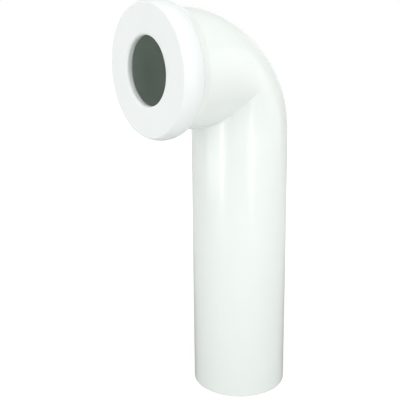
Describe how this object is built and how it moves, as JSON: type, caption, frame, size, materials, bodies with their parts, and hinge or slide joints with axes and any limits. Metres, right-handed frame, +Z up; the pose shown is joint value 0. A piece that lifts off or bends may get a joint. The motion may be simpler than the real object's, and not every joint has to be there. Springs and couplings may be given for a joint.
{
  "type": "bent toilet pan connector",
  "caption": "Long white right-angle toilet pan connector: plain spigot pipe, smooth-backed elbow with a creased inner corner, and a flared socket with a soft push-on seal.",
  "frame": {"origin": "centre of the spigot's open lower end", "axes": "+Z up the straight spigot, -Y towards the toilet pan along the outlet's axis, X across the bend"},
  "size_m": [0.1324, 0.1632, 0.4162],
  "materials": {
    "body": "smooth, lightly glossy moulded polypropylene",
    "seal": "satin soft thermoplastic rubber"
  },
  "bodies": {
    "root": {"pipe_body": "body", "pan_seal": "seal"}
  },
  "joints": []
}
